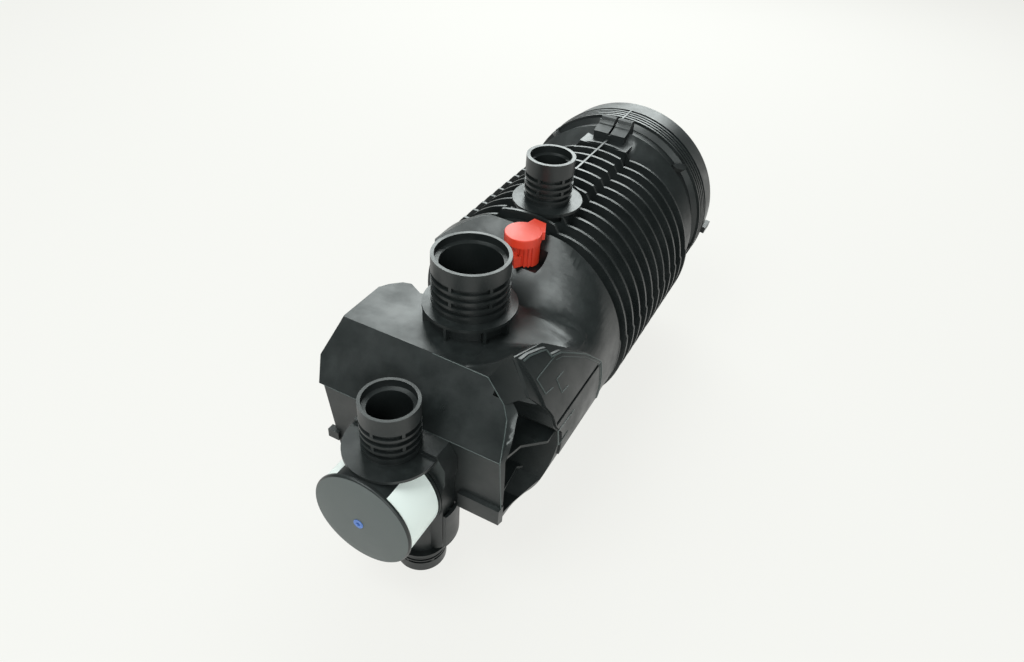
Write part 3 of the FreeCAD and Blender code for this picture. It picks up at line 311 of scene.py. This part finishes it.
# The mouldings that show: a merged copy of each, with its edges rounded as a mould rounds them, in mm
roundedEdges = {"front_housing": 0.45, "rear_barrel": 0.35, "end_cover": 0.45, "valve_body": 0.35,
                "valve_cover": 0.40, "vent_cap": 0.40, "indicator_ring": 0.12}
mouldEdges = dict(flat=math.radians(0.05), smooth=math.radians(32.0), rounded=math.radians(38.0))
discFacing = -0.8                              # the disc's face looks forward, along -y


def mergedCopy(node):
    mesh = frame["nodes"][node].data.copy()
    bm = bmesh.new()
    bm.from_mesh(mesh)
    bmesh.ops.remove_doubles(bm, verts=bm.verts, dist=mergeGap)
    return bm, mesh


def shadeSmooth(bm, angle):
    for face in bm.faces:
        face.smooth = True
    for edge in bm.edges:
        edge.smooth = edge.calc_face_angle(0.0) < angle


def roundedCopy(node, width):
    bm, mesh = mergedCopy(node)
    bmesh.ops.dissolve_degenerate(bm, edges=bm.edges, dist=tinyGap)
    if node == "front_housing":
        soften(bm)
    bmesh.ops.dissolve_limit(bm, angle_limit=mouldEdges["flat"], use_dissolve_boundaries=False,
                             verts=bm.verts, edges=bm.edges, delimit=set())
    shadeSmooth(bm, mouldEdges["smooth"])
    piece = newPiece(node + "_moulded", bm, mesh, nodeFinish[node])
    bevel = piece.modifiers.new("edge", "BEVEL")
    bevel.width = width * mm
    bevel.segments = 2
    bevel.limit_method = "ANGLE"
    bevel.angle_limit = mouldEdges["rounded"]
    bevel.use_clamp_overlap = True
    normals = piece.modifiers.new("faces", "WEIGHTED_NORMAL")
    normals.mode = "FACE_AREA"
    normals.keep_sharp = True
    normals.weight = 60
    if node == "valve_cover":
        # The drum's wall takes the housing's black, partly its own dark and partly painted shade for the
        # flange's shadow over it; the face looking forward keeps the grey
        piece.data.materials.append(housingBlack)
        for face in piece.data.polygons:
            face.material_index = 0 if face.normal.y < discFacing else 1
    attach(piece, nodeBody[node])
    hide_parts(node)


print("mouldings")
for node, width in roundedEdges.items():
    roundedCopy(node, width)
for node, source in frame["nodes"].items():
    setMaterial(source, nodeFinish[node])


def headingAt(path, i):
    return path[min(i + 1, len(path) - 1)] - path[max(i - 1, 0)]


def sweep(name, path, axes, section):
    # A closed section, in steps along each point's two axes, swept down a path and closed at both ends
    lastStep, turns = len(path) - 1, len(section) - 1
    bm = bmesh.new()
    bmesh.ops.create_grid(bm, x_segments=lastStep, y_segments=turns, size=0.5)
    for vert in bm.verts:
        i, j = round((vert.co.x + 0.5) * lastStep), round((vert.co.y + 0.5) * turns)
        across, over = axes[i]
        vert.co = place(*(path[i] + across * section[j][0] + over * section[j][1]))
    bmesh.ops.remove_doubles(bm, verts=bm.verts, dist=tinyGap)
    bmesh.ops.holes_fill(bm, edges=bm.edges, sides=turns)
    bmesh.ops.recalc_face_normals(bm, faces=bm.faces)
    # The lighter black on these marks and beads is a painted highlight
    piece = newPiece(name, bm, bpy.data.meshes.new(name), paintedHighlightNylon)
    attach(piece, "housing")


# Raised marks on the right side, in y and z: outlines of two flow arrows, and the panel's rib and line,
# in a lighter black that is a painted highlight
panelR = 98.6
ribStep = 3.0                                  # a rib follows the round panel in steps of this, mm
ribFoot = 0.3                                  # how far its foot is sunk
ribTop = 0.55                                  # its top's share of its width
sideMarks = {
    "arrow_low_outline": dict(width=1.0, height=0.45,
                              line=[(-18.6, 50.7), (-46.5, 50.6), (-45.4, 39.6), (-35.2, 38.1)]),
    "arrow_low_tail": dict(width=1.0, height=0.45,
                           line=[(-17.2, 39.2), (-27.8, 39.6), (-27.7, 29.2), (-17.2, 28.2)]),
    "arrow_high_outline": dict(width=1.0, height=0.45, line=[(-14.6, 4.9), (-42.4, 6.2), (-41.8, -7.5)]),
    "arrow_high_tail": dict(width=1.0, height=0.45, line=[(-25.3, -7.7), (-40.2, -8.9)]),
    "panel_edge_rib": dict(width=1.5, height=0.7,
                           line=[(-47.2, 62.6), (-39.0, 61.8), (-27.4, 58.9), (-22.2, 57.2),
                                 (-21.1, 51.9), (-9.6, 48.9), (0.4, 42.9), (16.4, 32.9),
                                 (37.2, 13.4), (37.2, -25.2)]),
    "panel_inner_line": dict(width=0.8, height=0.4,
                             line=[(-19.0, 48.6), (-10.4, 46.4), (-1.2, 41.0), (15.0, 31.2),
                                   (34.6, 12.6), (34.6, -24.0)]),
}


def smoothSteps(line, step):
    points = [line[0]]
    for (y0, z0), (y1, z1) in zip(line, line[1:]):
        count = max(int(math.hypot(y1 - y0, z1 - z0) / step), 1)
        points += [(y0 + (y1 - y0) * k / count, z0 + (z1 - z0) * k / count)
                   for k in range(1, count + 1)]
    return points


def sideRib(name, look):
    centreX, centreZ = shoulder["bodyX"], shoulder["bodyZ"]
    path, outward = [], []
    for y, z in smoothSteps(look["line"], ribStep):
        lean = math.asin((z - centreZ) / panelR)
        outward.append(Vector((math.cos(lean), 0.0, math.sin(lean))))
        path.append(Vector((centreX + panelR * math.cos(lean), y, z)))
    axes = [(out.cross(headingAt(path, i)).normalized(), out) for i, out in enumerate(outward)]
    half, height = look["width"] / 2.0, look["height"]
    section = [(-half, -ribFoot), (-half * ribTop, height), (half * ribTop, height), (half, -ribFoot)]
    sweep(name, path, axes, section + section[:1])


# Rounded edges of the front plate as half-sunk beads, lighter than the faces beside them as a painted
# highlight, in x, y and z
highlitBeads = {
    "face_edge_right": dict(radius=0.50,
                            line=[(46.4, -53.0, 41.0), (64.3, -61.4, 30.4), (69.9, -67.0, 23.5),
                                  (73.1, -75.5, 13.0), (76.3, -86.0, 0.0), (79.8, -86.0, -50.0)]),
    "hood_ridge_edge": dict(radius=0.45, line=[(0.0, -52.35, 41.6), (46.4, -53.0, 41.0)]),
    "face_crease_edge": dict(radius=0.30, line=[(-76.0, -86.0, 0.0), (76.3, -86.0, 0.0)]),
}
beadSides = 12


def highlitBead(name, look):
    # A thin round bead half sunk in the edge
    path = [Vector(spot) for spot in look["line"]]
    axes = []
    for i in range(len(path)):
        heading = headingAt(path, i)
        side = heading.cross(Vector((0.0, 1.0, 1.0))).normalized()
        axes.append((side, side.cross(heading).normalized()))
    angles = [2.0 * math.pi * j / beadSides for j in range(beadSides + 1)]
    section = [(look["radius"] * math.cos(angle), look["radius"] * math.sin(angle)) for angle in angles]
    sweep(name, path, axes, section)


print("marks and edges")
for name, look in sideMarks.items():
    sideRib(name, look)
for name, look in highlitBeads.items():
    highlitBead(name, look)


# Springs and membrane get smoothed copies of their own, which are not moved with their valves; each
# lists its valve's joint, anchorY as the end that stays, length and travel, all in mm
flexParts = {
    "bypass_spring": dict(joint="bypass_lift", anchorY=274.107, length=29.086, travel=6.0),
    "valve_spring": dict(joint="valve_close", anchorY=-89.107, length=18.086, travel=5.0),
    "diaphragm": dict(joint="valve_close", anchorY=-107.0, length=6.5, travel=5.0),
}
flexSmooth = math.radians(50.0)


def flexible(node):
    bm, mesh = mergedCopy(node)
    shadeSmooth(bm, flexSmooth)
    piece = newPiece(node + "_flexing", bm, mesh, nodeFinish[node])
    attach(piece, nodeBody[node])
    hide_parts(node)
    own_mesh(piece)


print("springs and membrane")
for node, look in flexParts.items():
    flexible(node)


# Stage, lights and camera

stageLook = dict(floor="f3f3ef", rough=0.9, glow=0.90, halfSize=6.0, middleY=0.1,
                 floorZ=cadBox[0][2] - 0.0008)
lightTint = (0.93, 1.0, 0.985)                 # cool daylight tubes
lightTarget = (0.0, 0.1, -0.1)
panelLights = {
    "backPanel": dict(position=(-0.55, 1.50, 0.87), size=(1.6, 1.2), power=42.0),
    "topPanel": dict(position=(-0.35, -0.60, 1.30), size=(0.9, 0.8), power=18.0),
    "frontPanel": dict(position=(1.1, -1.3, 0.75), size=(0.9, 0.9), power=19.0),
}
worldLook = dict(light="e6f0ee", strength=0.16, seen="f5f5f1")
cameraFit = dict(place=(0.229577, -0.402611, 0.299953), forward=(-0.337376, 0.704852, -0.623988),
                 right=(0.879702, 0.472028, 0.057563), up=(-0.335113, 0.529503, 0.779311),
                 lens=26.703, sensor=36.0, clipStart=0.01)


def paleFloor(name, look):
    # Pale paper that takes the shadow, and looks paler still to the camera and in reflections
    bm = bmesh.new()
    bmesh.ops.create_grid(bm, x_segments=1, y_segments=1, size=look["halfSize"])
    bmesh.ops.translate(bm, verts=bm.verts, vec=(0.0, look["middleY"], look["floorZ"]))
    material = bpy.data.materials.new(name + "Paper")
    material.use_nodes = True
    tree = material.node_tree
    shader = tree.nodes["Principled BSDF"]
    shader.inputs["Base Color"].default_value = linear(look["floor"])
    shader.inputs["Roughness"].default_value = look["rough"]
    glow = addNode(tree, "ShaderNodeEmission", {"Color": linear(look["floor"]), "Strength": 1.0})
    path = addNode(tree, "ShaderNodeLightPath")
    seen = addNode(tree, "ShaderNodeMath", {"operation": "MAXIMUM"},
                   {0: path.outputs["Is Camera Ray"], 1: path.outputs["Is Glossy Ray"]})
    seenThrough = addNode(tree, "ShaderNodeMath", {"operation": "MAXIMUM"},
                          {0: seen.outputs[0], 1: path.outputs["Is Transmission Ray"]})
    share = addNode(tree, "ShaderNodeMath", {"operation": "MULTIPLY", 1: look["glow"]},
                    {0: seenThrough.outputs[0]})
    mix = addNode(tree, "ShaderNodeMixShader", {},
                  {0: share.outputs[0], 1: shader.outputs[0], 2: glow.outputs[0]})
    tree.links.new(mix.outputs[0], tree.nodes["Material Output"].inputs["Surface"])
    newPiece(name, bm, bpy.data.meshes.new(name), material)


def softLight(name, look):
    data = bpy.data.lights.new(name, "AREA")
    data.shape = "RECTANGLE"
    data.size, data.size_y = look["size"]
    data.energy = look["power"]
    data.color = lightTint
    light = bpy.data.objects.new(name, data)
    bpy.context.scene.collection.objects.link(light)
    light.location = look["position"]
    toTarget = Vector(lightTarget) - Vector(look["position"])
    light.rotation_euler = toTarget.to_track_quat("-Z", "Y").to_euler()


def studioWorld(look):
    # Dim even light on the object, pale where the camera looks past it
    world = bpy.data.worlds.new("studio")
    bpy.context.scene.world = world
    world.use_nodes = True
    tree = world.node_tree
    backdrop = tree.nodes["Background"]
    backdrop.inputs["Color"].default_value = linear(look["light"])
    backdrop.inputs["Strength"].default_value = look["strength"]
    seen = addNode(tree, "ShaderNodeBackground", {"Color": linear(look["seen"]), "Strength": 1.0})
    path = addNode(tree, "ShaderNodeLightPath")
    mix = addNode(tree, "ShaderNodeMixShader", {},
                  {0: path.outputs["Is Camera Ray"], 1: backdrop.outputs[0], 2: seen.outputs[0]})
    tree.links.new(mix.outputs[0], tree.nodes["World Output"].inputs["Surface"])


def photoCamera(look):
    data = bpy.data.cameras.new("camera")
    data.sensor_fit = "HORIZONTAL"
    data.sensor_width = look["sensor"]
    data.lens = look["lens"]
    data.clip_start = look["clipStart"]
    camera = bpy.data.objects.new("camera", data)
    bpy.context.scene.collection.objects.link(camera)
    turn = Matrix((look["right"], look["up"], [-v for v in look["forward"]])).transposed()
    camera.matrix_world = Matrix.Translation(look["place"]) @ turn.to_4x4()
    bpy.context.scene.camera = camera


print("stage")
paleFloor("floor", stageLook)
for name, look in panelLights.items():
    softLight(name, look)
studioWorld(worldLook)
photoCamera(cameraFit)
bpy.context.scene.view_settings.view_transform = "Standard"

print("done")
